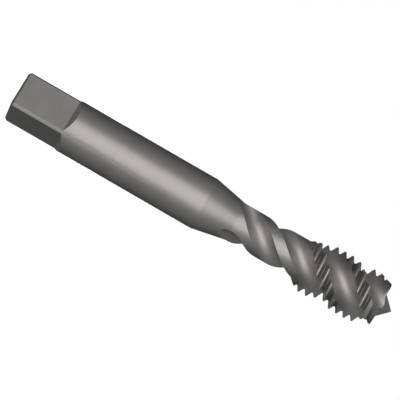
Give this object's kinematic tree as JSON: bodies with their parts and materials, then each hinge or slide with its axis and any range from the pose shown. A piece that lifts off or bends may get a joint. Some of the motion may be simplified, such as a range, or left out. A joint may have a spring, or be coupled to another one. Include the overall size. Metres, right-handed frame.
{
  "type": "thread tap",
  "caption": "Spiral-flute machine tap: square-ended shank, fluted neck, right-hand coarse thread with a short lead chamfer, and a conical point.",
  "frame": {"origin": "centre of the square's end face, on which the tap stands", "axes": "+Z along the tap's axis, from the drive square to the point"},
  "size_m": [0.01, 0.01, 0.0746],
  "materials": {
    "ground_tool_steel": "satin, ground, with a dark steam-tempered skin"
  },
  "bodies": {
    "root": {"tap": "ground_tool_steel"}
  },
  "joints": []
}
